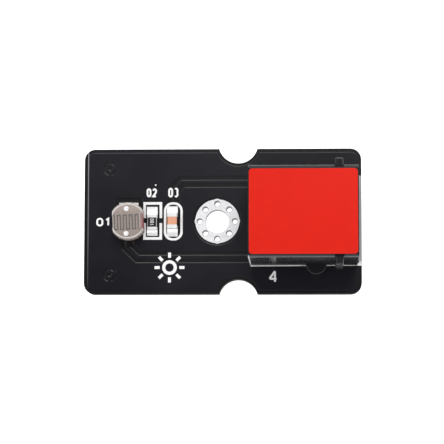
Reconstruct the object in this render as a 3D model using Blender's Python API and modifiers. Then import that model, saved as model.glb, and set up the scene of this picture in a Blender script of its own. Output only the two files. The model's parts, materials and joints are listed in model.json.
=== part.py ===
"""Light sensor module.

A black circuit board 38 mm long carries a photoresistor, a chip resistor, a chip capacitor
and a six-way modular jack. X runs along the board towards the jack's port, Y across it, and Z
is up. The origin lies under the board's centre, at the level of the cut tails and pegs that
the module rests on.
"""
import math

import bmesh
import bpy
from mathutils import Matrix, Vector

MM = 0.001

# General fits
SEAT_GAP = 0.02 * MM          # left between pieces that seat on each other
LEAD_PLAY = 0.15 * MM         # round a lead in its drilled hole

# Circuit board
BOARD_LENGTH = 38.0 * MM
BOARD_WIDTH = 20.0 * MM
BOARD_THICKNESS = 1.6 * MM
BOARD_CORNER_RADIUS = 1.5 * MM
NOTCH_X = 2.15 * MM
NOTCH_RADIUS = 2.7 * MM
NOTCH_DEPTH = 2.0 * MM
TAIL_LENGTH = 1.5 * MM        # how far leads and pegs stand out under the board

# Plated mounting hole with its ring of vias
HOLE_X = -0.72 * MM
HOLE_DIAMETER = 3.2 * MM
HOLE_PAD_DIAMETER = 6.04 * MM
VIA_COUNT = 8
VIA_CIRCLE_RADIUS = 2.41 * MM
VIA_DIAGONAL_RADIUS = 2.31 * MM
VIA_DIAMETER = 0.74 * MM
VIA_MOUTH = 0.06 * MM         # the slope at both ends of a via
VIA_PAD_DIAMETER = 1.38 * MM
PLATING = 0.05 * MM

# Photoresistor
CELL_X = -12.87 * MM
CELL_Y = -0.10 * MM
CELL_TURN = math.radians(2.5)
CELL_DIAMETER = 5.1 * MM
CELL_FLAT_WIDTH = 4.2 * MM
CELL_BASE_THICKNESS = 1.55 * MM
CELL_FILM = 0.04 * MM
CELL_FILM_INSET = 0.12 * MM
CELL_COAT_WALL = 0.10 * MM
CELL_COAT_OVER = 0.36 * MM    # clear resin above the printed face
CELL_COAT_SKIRT = 0.70 * MM   # how far the resin runs down the rim
TRACK_STROKES = 10
TRACK_SIDE_MARGIN = 0.278 * MM  # from each flat to the middle of the first stroke
TRACK_WIDTH = 0.15 * MM
TRACK_REACH = 0.96 * MM       # half the height of a stroke
TRACK_SHIFT_Y = -0.16 * MM
CELL_LEAD_SPACING = 3.4 * MM
CELL_LEAD_SHIFT_X = -0.22 * MM
CELL_LEAD_SHIFT_Y = -0.03 * MM
CELL_LEAD_DIAMETER = 0.5 * MM
CELL_LEAD_HEAD_DIAMETER = 0.70 * MM
CELL_LEAD_HEAD_HEIGHT = 0.20 * MM
LEAD_TIP_CHAMFER = 0.12 * MM
CELL_JOINT_DIAMETER = 1.7 * MM

# Chip parts, both of the 2.0 by 1.25 mm size
CHIP_LENGTH = 2.0 * MM
CHIP_WIDTH = 1.25 * MM
CHIP_TERMINAL_FILM = 0.04 * MM
RESISTOR_X = -9.64 * MM
RESISTOR_Y = -0.16 * MM
RESISTOR_PAD_Y = 0.02 * MM     # the middle of its pads: the chip slipped as it was soldered
RESISTOR_HEIGHT = 0.45 * MM
RESISTOR_TERMINAL_LENGTH = 0.36 * MM
RESISTOR_COAT = 0.06 * MM
RESISTOR_COAT_MARGIN = 0.06 * MM
CAPACITOR_X = -6.87 * MM
CAPACITOR_Y = 0.0
CAPACITOR_HEIGHT = 0.85 * MM
CAPACITOR_TERMINAL_LENGTH = 0.46 * MM
CHIP_PAD_WIDTH = 1.45 * MM
RESISTOR_FILLET_SHARE = 0.8    # how far up the chip its solder climbs
CAPACITOR_FILLET_SHARE = 0.55
RESISTOR_PAD_REACH = 1.99 * MM  # from the middle of both pads to the far end of one
CAPACITOR_PAD_REACH = 2.08 * MM
CHIP_PAD_FOIL = 0.05 * MM

# Modular jack: its own x runs from its back to its front face, its z up from the board
JACK_BACK_X = 3.79 * MM
JACK_LENGTH = 14.6 * MM
JACK_WIDTH = 12.2 * MM
JACK_HEIGHT = 11.7 * MM
JACK_EDGE_ROUND = 0.2 * MM
JACK_SHOULDER_ROUND = 0.45 * MM
PORT_WIDTH = 9.9 * MM
PORT_FLOOR = 2.6 * MM
PORT_HEIGHT = 6.8 * MM
PORT_LEAD_IN = 0.3 * MM
LATCH_CHANNEL_WIDTH = 6.3 * MM
LATCH_CHANNEL_FLOOR = 0.7 * MM
LATCH_SLOT_WIDTH = 4.4 * MM
LATCH_LEDGE_DEPTH = 1.6 * MM
LATCH_LEDGE_HEIGHT = 1.0 * MM
RIB_X = 12.03 * MM
RIB_WIDTH = 1.05 * MM
RIB_REACH = 0.95 * MM
RIB_BOTTOM = 3.5 * MM
RIB_TOP = 11.3 * MM
RIB_NOTCH_IN = 0.35 * MM
RIB_NOTCH_OUT = 0.25 * MM
RIB_NOTCH_DEPTH = 0.4 * MM
RIB_EDGE_ROUND = 0.15 * MM
BOSS_X = 9.0 * MM
BOSS_Y = 6.0 * MM
BOSS_DIAMETER = 2.86 * MM
BOSS_HEIGHT = 0.9 * MM
BOSS_EDGE_ROUND = 0.2 * MM
PEG_DIAMETER = 2.2 * MM
PEG_TIP_CHAMFER = 0.3 * MM
PEG_PLAY = 0.1 * MM

# Contact insert and the six spring contacts
CONTACT_COUNT = 6
CONTACT_PITCH = 1.02 * MM
CONTACT_DIAMETER = 0.46 * MM
CONTACT_BACK_ROW = 1.4 * MM
CONTACT_ROW_SPACING = 2.54 * MM
CONTACT_RUN_Z = 9.95 * MM
CONTACT_BEND_RADIUS = 0.6 * MM
CONTACT_FOLD_X = 12.9 * MM
CONTACT_FOLD_RADIUS = 0.5 * MM
CONTACT_SLOPE = math.radians(12.5)
CONTACT_END_X = 5.4 * MM
CONTACT_SLOT = 0.64 * MM
INSERT_BACK = 0.3 * MM
INSERT_FRONT = 4.9 * MM
INSERT_TOP = 10.3 * MM
COMB_REACH = 1.1 * MM
COMB_BOTTOM = 7.0 * MM
COMB_TOP = 9.2 * MM
PIN_JOINT_DIAMETER = 1.44 * MM
JOINT_HEIGHT = 1.05 * MM

# Label on the jack
LABEL_THICKNESS = 0.1 * MM
LABEL_END_MARGIN = 0.14 * MM
LABEL_SIDE_MARGIN = 0.45 * MM
LABEL_SHIFT_Y = -0.07 * MM
LABEL_CORNER_RADIUS = 0.45 * MM

# Fineness of round shapes
FINE = 48
MEDIUM = 24
SMALL = 16

# Levels worked out from the sizes above
BOARD_BOTTOM = TAIL_LENGTH
BOARD_TOP = TAIL_LENGTH + BOARD_THICKNESS
CELL_BASE_TOP = BOARD_TOP + SEAT_GAP + CELL_BASE_THICKNESS
CELL_FILM_TOP = CELL_BASE_TOP + SEAT_GAP + CELL_FILM
JACK_BASE = BOARD_TOP + SEAT_GAP
PORT_CEILING = PORT_FLOOR + PORT_HEIGHT


def clear_scene():
    for obj in list(bpy.data.objects):
        bpy.data.objects.remove(obj, do_unlink=True)
    for collection in list(bpy.data.collections):
        bpy.data.collections.remove(collection)


def new_collection(name):
    collection = bpy.data.collections.new(name)
    bpy.context.scene.collection.children.link(collection)
    return collection


clear_scene()
PARTS = new_collection("light_sensor_module")
CUTTERS = new_collection("cutters")


def material(name, colour, roughness, metallic=0.0, alpha=1.0):
    """A Principled material; the colour is linear red, green and blue."""
    found = bpy.data.materials.get(name)
    if found:
        return found
    made = bpy.data.materials.new(name)
    made.use_nodes = True
    shader = made.node_tree.nodes["Principled BSDF"]
    shader.inputs["Base Color"].default_value = (*colour, 1.0)
    shader.inputs["Roughness"].default_value = roughness
    shader.inputs["Metallic"].default_value = metallic
    shader.inputs["Alpha"].default_value = alpha
    made.diffuse_color = (*colour, alpha)
    return made


def solder_mask():
    return material("black_solder_mask", (0.018, 0.018, 0.022), 0.35)


def tinned_copper():
    return material("tinned_copper", (0.80, 0.80, 0.78), 0.30, 1.0)


def solder():
    return material("solder", (0.72, 0.73, 0.74), 0.25, 1.0)


def alumina():
    return material("alumina", (0.75, 0.73, 0.68), 0.55)


def sensing_film():
    return material("cadmium_sulphide", (0.20, 0.05, 0.03), 0.5)


def electrode_metal():
    return material("evaporated_electrode", (0.45, 0.40, 0.34), 0.4, 0.6)


def clear_resin():
    return material("clear_resin", (0.90, 0.88, 0.84), 0.08, 0.0, 0.35)


def resistor_glaze():
    return material("resistor_overcoat", (0.015, 0.015, 0.017), 0.4)


def capacitor_ceramic():
    return material("capacitor_ceramic", (0.72, 0.33, 0.17), 0.5)


def jack_plastic():
    return material("jack_plastic", (0.015, 0.015, 0.017), 0.3)


def contact_metal():
    return material("gilded_bronze", (0.85, 0.60, 0.22), 0.25, 1.0)


def label_film():
    return material("red_label", (0.80, 0.026, 0.016), 0.4)


def add_object(name, mesh, look=None):
    """An object in the model's collection, or among the cutters when it has no look."""
    obj = bpy.data.objects.new(name, mesh)
    if look is None:
        CUTTERS.objects.link(obj)
        obj.hide_render = True
        obj.display_type = "WIRE"
    else:
        PARTS.objects.link(obj)
        mesh.materials.append(look)
    return obj


def mesh_from(bm, name):
    bmesh.ops.recalc_face_normals(bm, faces=bm.faces)
    mesh = bpy.data.meshes.new(name)
    bm.to_mesh(mesh)
    bm.free()
    return mesh


def shade_round(obj, angle=35):
    obj.data.shade_smooth()
    obj.data.set_sharp_from_angle(angle=math.radians(angle))


def add_box(bm, low, high):
    """Adds a box between two corners to a mesh in the making and returns its vertices."""
    low = Vector(low)
    high = Vector(high)
    place = Matrix.Translation((low + high) / 2) @ Matrix.Diagonal((*(high - low), 1.0))
    return bmesh.ops.create_cube(bm, size=1.0, matrix=place)["verts"]


def add_cylinder(bm, centre, radius, bottom, top, segments):
    """Adds an upright cylinder at (x, y) to a mesh in the making."""
    place = Matrix.Translation((centre[0], centre[1], (bottom + top) / 2))
    bmesh.ops.create_cone(bm, cap_ends=True, segments=segments, radius1=radius, radius2=radius,
                          depth=top - bottom, matrix=place)


def boxes(name, corners, look=None):
    """One object of the boxes given as pairs of corners."""
    bm = bmesh.new()
    for low, high in corners:
        add_box(bm, low, high)
    return add_object(name, mesh_from(bm, name), look)


def cylinders(name, centres, radius, bottom, top, segments, look=None):
    """One object of equal upright cylinders."""
    bm = bmesh.new()
    for centre in centres:
        add_cylinder(bm, centre, radius, bottom, top, segments)
    return add_object(name, mesh_from(bm, name), look)


def prism(name, outline, bottom, top, look=None):
    """A flat outline of (x, y) points, filled and given its thickness."""
    curve = bpy.data.curves.new(name, "CURVE")
    curve.dimensions = "2D"
    curve.fill_mode = "BOTH"
    curve.extrude = (top - bottom) / 2
    spline = curve.splines.new("POLY")
    spline.points.add(len(outline) - 1)
    for point, (x, y) in zip(spline.points, outline):
        point.co = (x, y, 0.0, 1.0)
    spline.use_cyclic_u = True
    return solid_from_curve(name, curve, Matrix.Translation((0, 0, (bottom + top) / 2)), look)


def bar_along_x(name, outline, low, high, place, look):
    """An outline of (y, z) points from its place, drawn out along X between two distances."""
    bar = prism(name, outline, low, high, look)
    turn = Matrix(((0, 0, 1, 0), (1, 0, 0, 0), (0, 1, 0, 0), (0, 0, 0, 1)))
    bar.data.transform(Matrix.Translation(place) @ turn)
    return bar


def solid_from_curve(name, curve, place, look):
    """Makes a curve a welded mesh object, placed in its mesh."""
    guide = bpy.data.objects.new(name + "_curve", curve)
    CUTTERS.objects.link(guide)
    bpy.context.view_layer.update()
    ready = guide.evaluated_get(bpy.context.evaluated_depsgraph_get())
    mesh = bpy.data.meshes.new_from_object(ready)
    mesh.name = name
    bpy.data.objects.remove(guide, do_unlink=True)
    bm = bmesh.new()
    bm.from_mesh(mesh)
    bmesh.ops.remove_doubles(bm, verts=bm.verts, dist=0.0005 * MM)
    bmesh.ops.transform(bm, matrix=place, verts=bm.verts)
    bmesh.ops.recalc_face_normals(bm, faces=bm.faces)
    bm.to_mesh(mesh)
    bm.free()
    mesh.materials.clear()
    return add_object(name, mesh, look)


def ribbon(name, points, width, bottom, top, look=None):
    """A strip of even width along a polyline of (x, y) points, with mitred corners."""
    curve = bpy.data.curves.new(name, "CURVE")
    curve.dimensions = "2D"
    curve.fill_mode = "NONE"
    curve.extrude = (top - bottom) / 2
    spline = curve.splines.new("POLY")
    spline.points.add(len(points) - 1)
    for point, (x, y) in zip(spline.points, points):
        point.co = (x, y, 0.0, 1.0)
    obj = solid_from_curve(name, curve, Matrix.Translation((0, 0, (bottom + top) / 2)), look)
    wall = obj.modifiers.new("wall", "SOLIDIFY")
    wall.thickness = width
    wall.offset = 0.0
    wall.use_even_offset = True
    return obj


def wire(name, points, diameter, look):
    """A round wire through the points, closed at both ends."""
    curve = bpy.data.curves.new(name, "CURVE")
    curve.dimensions = "3D"
    curve.bevel_depth = diameter / 2
    curve.bevel_resolution = 2
    curve.use_fill_caps = True
    curve.twist_mode = "MINIMUM"
    spline = curve.splines.new("POLY")
    spline.points.add(len(points) - 1)
    for point, (x, y, z) in zip(spline.points, points):
        point.co = (x, y, z, 1.0)
    obj = solid_from_curve(name, curve, Matrix.Identity(4), look)
    shade_round(obj, 50)
    return obj


def turned(name, profile, centre, segments, look=None):
    """A shape turned about an upright axis; the profile of (radius, z) runs down outside."""
    mesh = bpy.data.meshes.new(name)
    bm = bmesh.new()
    corners = [bm.verts.new((radius, 0.0, z)) for radius, z in profile]
    for first, second in zip(corners, corners[1:]):
        bm.edges.new((first, second))
    if profile[0][0] > 0 and profile[-1][0] > 0:
        bm.edges.new((corners[-1], corners[0]))
    bm.to_mesh(mesh)
    bm.free()
    obj = add_object(name, mesh, look)
    obj.location = (centre[0], centre[1], 0.0)
    screw = obj.modifiers.new("turn", "SCREW")
    screw.steps = segments
    screw.render_steps = segments
    screw.use_merge_vertices = True
    screw.merge_threshold = 0.0005 * MM
    return obj


def boolean(obj, cutter, operation="DIFFERENCE"):
    step = obj.modifiers.new(cutter.name, "BOOLEAN")
    step.operation = operation
    step.solver = "EXACT"
    step.object = cutter


def bevel(obj, width, segments, angle=50):
    step = obj.modifiers.new("rounded_edges", "BEVEL")
    step.width = width
    step.segments = segments
    step.limit_method = "ANGLE"
    step.angle_limit = math.radians(angle)


def arc(centre, radius, start, stop, steps):
    """Points (x, y) along an arc, both ends included; angles in degrees."""
    found = []
    for step in range(steps + 1):
        angle = math.radians(start + (stop - start) * step / steps)
        found.append((centre[0] + radius * math.cos(angle), centre[1] + radius * math.sin(angle)))
    return found


def rounded_rectangle(low, high, radius, steps=6):
    """Outline points of a rectangle with round corners, anticlockwise."""
    outline = []
    for x, y, start in ((high[0] - radius, high[1] - radius, 0), (low[0] + radius, high[1] - radius, 90),
                        (low[0] + radius, low[1] + radius, 180), (high[0] - radius, low[1] + radius, 270)):
        outline += arc((x, y), radius, start, start + 90, steps)
    return outline


def parallel(points, distance):
    """The polyline moved sideways, to the left of its run, with mitred corners."""
    moved = []
    for index, point in enumerate(points):
        here = Vector(point)
        before = (here - Vector(points[index - 1])).normalized() if index else None
        after = (Vector(points[index + 1]) - here).normalized() if index + 1 < len(points) else None
        before = before or after
        after = after or before
        side = Vector((-before.y - after.y, before.x + after.x)).normalized()
        reach = distance / side.dot(Vector((-before.y, before.x)))
        moved.append(tuple(here + side * reach))
    return moved


def mirrored(sides):
    """Both signs of each (x, y) place."""
    return [(x, sign * y) for x, y in sides for sign in (1, -1)]


def via_places():
    """The vias round the mounting hole; every second one, on a diagonal, stands nearer to it."""
    places = []
    for index in range(VIA_COUNT):
        angle = 2 * math.pi / VIA_COUNT * index
        radius = VIA_DIAGONAL_RADIUS if index % 2 else VIA_CIRCLE_RADIUS
        places.append((HOLE_X + radius * math.cos(angle), radius * math.sin(angle)))
    return places


def cell_lead_places():
    """The upper and the lower lead of the photoresistor."""
    x = CELL_X + CELL_LEAD_SHIFT_X
    y = CELL_Y + CELL_LEAD_SHIFT_Y
    return [(x, y + CELL_LEAD_SPACING / 2), (x, y - CELL_LEAD_SPACING / 2)]


def contact_y(index):
    return (index - (CONTACT_COUNT - 1) / 2) * CONTACT_PITCH


def contact_row(index):
    """A contact's tail, from the jack's back: the contacts stand in two staggered rows."""
    return CONTACT_BACK_ROW + CONTACT_ROW_SPACING * (index % 2)


def contact_places():
    return [(JACK_BACK_X + contact_row(index), contact_y(index)) for index in range(CONTACT_COUNT)]


def peg_places():
    return mirrored([(JACK_BACK_X + BOSS_X, BOSS_Y)])


def circuit_board():
    """The board with its rounded corners, edge notches and every drilled hole."""
    half_length = BOARD_LENGTH / 2
    half_width = BOARD_WIDTH / 2
    outline = rounded_rectangle((-half_length, -half_width), (half_length, half_width), BOARD_CORNER_RADIUS)
    board = prism("circuit_board", outline, BOARD_BOTTOM, BOARD_TOP, solder_mask())
    low = BOARD_BOTTOM - BOARD_THICKNESS
    high = BOARD_TOP + BOARD_THICKNESS
    notch_y = half_width - NOTCH_DEPTH + NOTCH_RADIUS
    lead_radius = CELL_LEAD_DIAMETER / 2 + LEAD_PLAY
    contact_radius = CONTACT_DIAMETER / 2 + LEAD_PLAY
    barrel = PLATING + SEAT_GAP
    for cutter in (
            cylinders("cut_notches", mirrored([(NOTCH_X, notch_y)]), NOTCH_RADIUS, low, high, FINE),
            cylinders("cut_mounting_hole", [(HOLE_X, 0.0)], HOLE_DIAMETER / 2 + barrel, low, high, FINE),
            cylinders("cut_vias", via_places(), VIA_DIAMETER / 2 + barrel, low, high, SMALL),
            cylinders("cut_cell_leads", cell_lead_places(), lead_radius, low, high, SMALL),
            cylinders("cut_jack_tails", contact_places(), contact_radius, low, high, SMALL),
            cylinders("cut_jack_pegs", peg_places(), PEG_DIAMETER / 2 + PEG_PLAY, low, high, MEDIUM)):
        boolean(board, cutter)
    return board


def mounting_hole_plating():
    """Tinned copper through the mounting hole: barrel, a pad on each face and the via barrels."""
    low = BOARD_BOTTOM - SEAT_GAP - PLATING
    high = BOARD_TOP + SEAT_GAP + PLATING
    centre = (HOLE_X, 0.0)
    plating = cylinders("mounting_hole_plating", [centre], HOLE_DIAMETER / 2 + PLATING, low, high, FINE,
                        tinned_copper())
    boolean(plating, cylinders("via_barrels", via_places(), VIA_DIAMETER / 2 + PLATING, low, high, SMALL),
            "UNION")
    for side, bottom, top in (("top", BOARD_TOP + SEAT_GAP, high), ("bottom", low, BOARD_BOTTOM - SEAT_GAP)):
        boolean(plating, cylinders("pad_" + side, [centre], HOLE_PAD_DIAMETER / 2, bottom, top, FINE), "UNION")
        via_pads = cylinders("via_pads_" + side, via_places(), VIA_PAD_DIAMETER / 2, bottom, top, MEDIUM)
        boolean(plating, via_pads, "UNION")
    over = BOARD_THICKNESS
    boolean(plating, cylinders("cut_bore", [centre], HOLE_DIAMETER / 2, low - over, high + over, FINE))
    bore = VIA_DIAMETER / 2
    wide = bore + 2 * VIA_MOUTH
    spindle = [(0.0, high + VIA_MOUTH), (wide, high + VIA_MOUTH), (bore, high - VIA_MOUTH),
               (bore, low + VIA_MOUTH), (wide, low - VIA_MOUTH), (0.0, low - VIA_MOUTH)]
    for number, place in enumerate(via_places(), 1):
        boolean(plating, turned("cut_via_%d" % number, spindle, place, SMALL))
    return plating


def cell_outline(margin):
    """The photoresistor's outline: a disc with two flats, turned as it was fitted."""
    radius = CELL_DIAMETER / 2 + margin
    half = CELL_FLAT_WIDTH / 2 + margin
    open_angle = math.degrees(math.acos(half / radius))
    points = arc((0, 0), radius, open_angle, 180 - open_angle, 16)
    points += arc((0, 0), radius, 180 + open_angle, 360 - open_angle, 16)
    return place_on_cell(points)


def place_on_cell(points):
    """Turns and moves points from the cell's own middle to their place on the board."""
    cos = math.cos(CELL_TURN)
    sin = math.sin(CELL_TURN)
    return [(CELL_X + x * cos - y * sin, CELL_Y + x * sin + y * cos) for x, y in points]


def track_points(reach):
    """The serpentine between the electrodes, out to the given distance at both ends."""
    first = TRACK_SIDE_MARGIN - CELL_FLAT_WIDTH / 2
    pitch = -2 * first / (TRACK_STROKES - 1)
    upper = TRACK_SHIFT_Y + TRACK_REACH
    lower = TRACK_SHIFT_Y - TRACK_REACH
    points = [(-reach, upper)]
    for stroke in range(TRACK_STROKES):
        x = first + stroke * pitch
        ends = ((x, upper), (x, lower))
        points += ends if stroke % 2 == 0 else ends[::-1]
    return points + [(reach, upper)]


def cell_base():
    base = prism("ldr_ceramic_base", cell_outline(0.0), BOARD_TOP + SEAT_GAP, CELL_BASE_TOP, alumina())
    radius = CELL_LEAD_DIAMETER / 2 + SEAT_GAP
    boolean(base, cylinders("cut_base_leads", cell_lead_places(), radius, BOARD_TOP - MM, CELL_FILM_TOP + MM,
                            SMALL))
    return base


def cell_track():
    """The light-sensitive serpentine, printed across the disc from flat to flat."""
    reach = CELL_FLAT_WIDTH / 2 - CELL_FILM_INSET
    low = CELL_BASE_TOP + SEAT_GAP
    return ribbon("ldr_sensing_track", place_on_cell(track_points(reach)), TRACK_WIDTH, low, CELL_FILM_TOP,
                  sensing_film())


def cell_electrode(name, lead, side):
    """A comb of metal film on one side of the serpentine (side 1 is above it)."""
    low = CELL_BASE_TOP + SEAT_GAP
    film = prism(name, cell_outline(-CELL_FILM_INSET), low, CELL_FILM_TOP, electrode_metal())
    clear = TRACK_WIDTH / 2 + SEAT_GAP
    beyond = CELL_DIAMETER
    border = parallel(track_points(CELL_DIAMETER), side * clear)
    corners = [(beyond, -side * beyond), (-beyond, -side * beyond)]
    cutter = prism("cut_" + name, place_on_cell(border + corners), low - CELL_FILM, CELL_FILM_TOP + CELL_FILM)
    boolean(film, cutter)
    radius = CELL_LEAD_DIAMETER / 2 + SEAT_GAP
    boolean(film, cylinders("cut_lead_" + name, [lead], radius, low - MM, CELL_FILM_TOP + MM, SMALL))
    return film


def cell_lead(name, centre):
    """A lead with the flattened head that holds it in the ceramic."""
    shaft = CELL_LEAD_DIAMETER / 2
    head = CELL_LEAD_HEAD_DIAMETER / 2
    seat = CELL_FILM_TOP + SEAT_GAP
    profile = [(head * x, seat + CELL_LEAD_HEAD_HEIGHT * z) for x, z in arc((0.0, 0.0), 1.0, 90, 0, 4)]
    profile += [(shaft, seat), (shaft, LEAD_TIP_CHAMFER), (shaft - LEAD_TIP_CHAMFER, 0.0), (0.0, 0.0)]
    return turned(name, profile, centre, SMALL, solder())


def cell_coat():
    """Clear resin over the printed face, running a little way down the rim."""
    top = CELL_BASE_TOP + CELL_COAT_OVER
    bottom = CELL_BASE_TOP - CELL_COAT_SKIRT
    coat = prism("ldr_clear_coat", cell_outline(CELL_COAT_WALL), bottom, top, clear_resin())
    pocket = prism("cut_coat_pocket", cell_outline(SEAT_GAP), bottom - MM, CELL_FILM_TOP + SEAT_GAP)
    boolean(coat, pocket)
    radius = CELL_LEAD_HEAD_DIAMETER / 2 + SEAT_GAP
    roof = CELL_FILM_TOP + CELL_LEAD_HEAD_HEIGHT + 2 * SEAT_GAP
    boolean(coat, cylinders("cut_coat_heads", cell_lead_places(), radius, CELL_BASE_TOP, roof, SMALL))
    return coat


def solder_joint(name, centre, lead_diameter, joint_diameter):
    """A hollow-flanked cone of solder round a lead, hanging under the board."""
    inner = lead_diameter / 2 + SEAT_GAP
    foot = joint_diameter / 2
    top = BOARD_BOTTOM - SEAT_GAP
    neck = inner + 0.08 * MM
    steps = 5
    profile = [(inner, top), (foot, top), (foot, top - CHIP_PAD_FOIL)]
    for step in range(1, steps + 1):
        share = step / steps
        profile.append((neck + (foot - neck) * (1 - share) ** 2,
                        top - CHIP_PAD_FOIL - (JOINT_HEIGHT - CHIP_PAD_FOIL) * share))
    profile.append((inner, top - JOINT_HEIGHT))
    return turned(name, profile, centre, SMALL, solder())


def chip_terminal(name, centre, side, height, length, lift):
    """A metal cap round one end of a chip (side 1 is the far end)."""
    half_width = CHIP_WIDTH / 2
    film = CHIP_TERMINAL_FILM
    end = centre[1] + side * CHIP_LENGTH / 2
    inner = end - side * length
    outer = end + side * film
    low_y, high_y = sorted((inner, outer))
    low_x = centre[0] - half_width - film
    high_x = centre[0] + half_width + film
    cap = boxes(name, [((low_x, low_y, lift), (high_x, high_y, lift + height + 2 * film))], tinned_copper())
    pocket_low, pocket_high = sorted((inner - side * length, end + side * SEAT_GAP))
    pocket = boxes("cut_" + name, [((centre[0] - half_width - SEAT_GAP, pocket_low, lift + film - SEAT_GAP),
                                    (centre[0] + half_width + SEAT_GAP, pocket_high,
                                     lift + film + height + SEAT_GAP))])
    boolean(cap, pocket)
    return cap


def chip_solder(name, centre, side, height, foot):
    """A pad, out to its foot, with the fillet of solder that climbs the end of a chip."""
    start = CHIP_LENGTH / 2 + CHIP_TERMINAL_FILM + SEAT_GAP
    under = CHIP_LENGTH / 2 - RESISTOR_TERMINAL_LENGTH
    low = BOARD_TOP + SEAT_GAP
    foil = low + CHIP_PAD_FOIL
    steps = 6
    profile = [(under, low), (foot, low), (foot, foil)]
    for step in range(1, steps + 1):
        share = step / steps
        profile.append((foot + (start - foot) * share, foil + (height - CHIP_PAD_FOIL) * share ** 2.2))
    profile += [(start, foil), (under, foil)]
    outline = [(side * y, z) for y, z in profile]
    return bar_along_x(name, outline, -CHIP_PAD_WIDTH / 2, CHIP_PAD_WIDTH / 2, (*centre, 0.0), solder())


def chip_resistor():
    centre = (RESISTOR_X, RESISTOR_Y)
    film = CHIP_TERMINAL_FILM
    lift = BOARD_TOP + SEAT_GAP + CHIP_PAD_FOIL + SEAT_GAP
    low = lift + film
    half_width = CHIP_WIDTH / 2
    half_length = CHIP_LENGTH / 2
    boxes("resistor_body", [((centre[0] - half_width, centre[1] - half_length, low),
                             (centre[0] + half_width, centre[1] + half_length, low + RESISTOR_HEIGHT))],
          alumina())
    coat_half_length = half_length - RESISTOR_TERMINAL_LENGTH - SEAT_GAP
    coat_half_width = half_width - RESISTOR_COAT_MARGIN
    coat_low = low + RESISTOR_HEIGHT + SEAT_GAP
    coat_high = coat_low + RESISTOR_COAT
    coat = boxes("resistor_overcoat",
                 [((centre[0] - coat_half_width, centre[1] - coat_half_length, coat_low),
                   (centre[0] + coat_half_width, centre[1] + coat_half_length, coat_high))], resistor_glaze())
    bevel(coat, RESISTOR_COAT / 2, 2)
    for word, side in (("upper", 1), ("lower", -1)):
        chip_terminal("resistor_terminal_" + word, centre, side, RESISTOR_HEIGHT, RESISTOR_TERMINAL_LENGTH,
                      lift)
        foot = RESISTOR_PAD_REACH + side * (RESISTOR_PAD_Y - RESISTOR_Y)
        chip_solder("resistor_solder_" + word, centre, side, RESISTOR_HEIGHT * RESISTOR_FILLET_SHARE, foot)


def chip_capacitor():
    centre = (CAPACITOR_X, CAPACITOR_Y)
    film = CHIP_TERMINAL_FILM
    lift = BOARD_TOP + SEAT_GAP + CHIP_PAD_FOIL + SEAT_GAP
    low = lift + film
    half_width = CHIP_WIDTH / 2
    half_length = CHIP_LENGTH / 2
    boxes("capacitor_body", [((centre[0] - half_width, centre[1] - half_length, low),
                              (centre[0] + half_width, centre[1] + half_length, low + CAPACITOR_HEIGHT))],
          capacitor_ceramic())
    for word, side in (("upper", 1), ("lower", -1)):
        chip_terminal("capacitor_terminal_" + word, centre, side, CAPACITOR_HEIGHT, CAPACITOR_TERMINAL_LENGTH,
                      lift)
        chip_solder("capacitor_solder_" + word, centre, side, CAPACITOR_HEIGHT * CAPACITOR_FILLET_SHARE,
                    CAPACITOR_PAD_REACH)


def jack_corner(x, y, z):
    """A point of the jack in the model's frame."""
    return (JACK_BACK_X + x, y, JACK_BASE + z)


def jack_boxes(name, corners, look=None):
    return boxes(name, [(jack_corner(*low), jack_corner(*high)) for low, high in corners], look)


def contact_lanes(low_x, high_x, low_z, high_z):
    """Boxes that run along X at each contact's place, one slot wide."""
    half = CONTACT_SLOT / 2
    return [((low_x, contact_y(index) - half, low_z), (high_x, contact_y(index) + half, high_z))
            for index in range(CONTACT_COUNT)]


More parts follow.
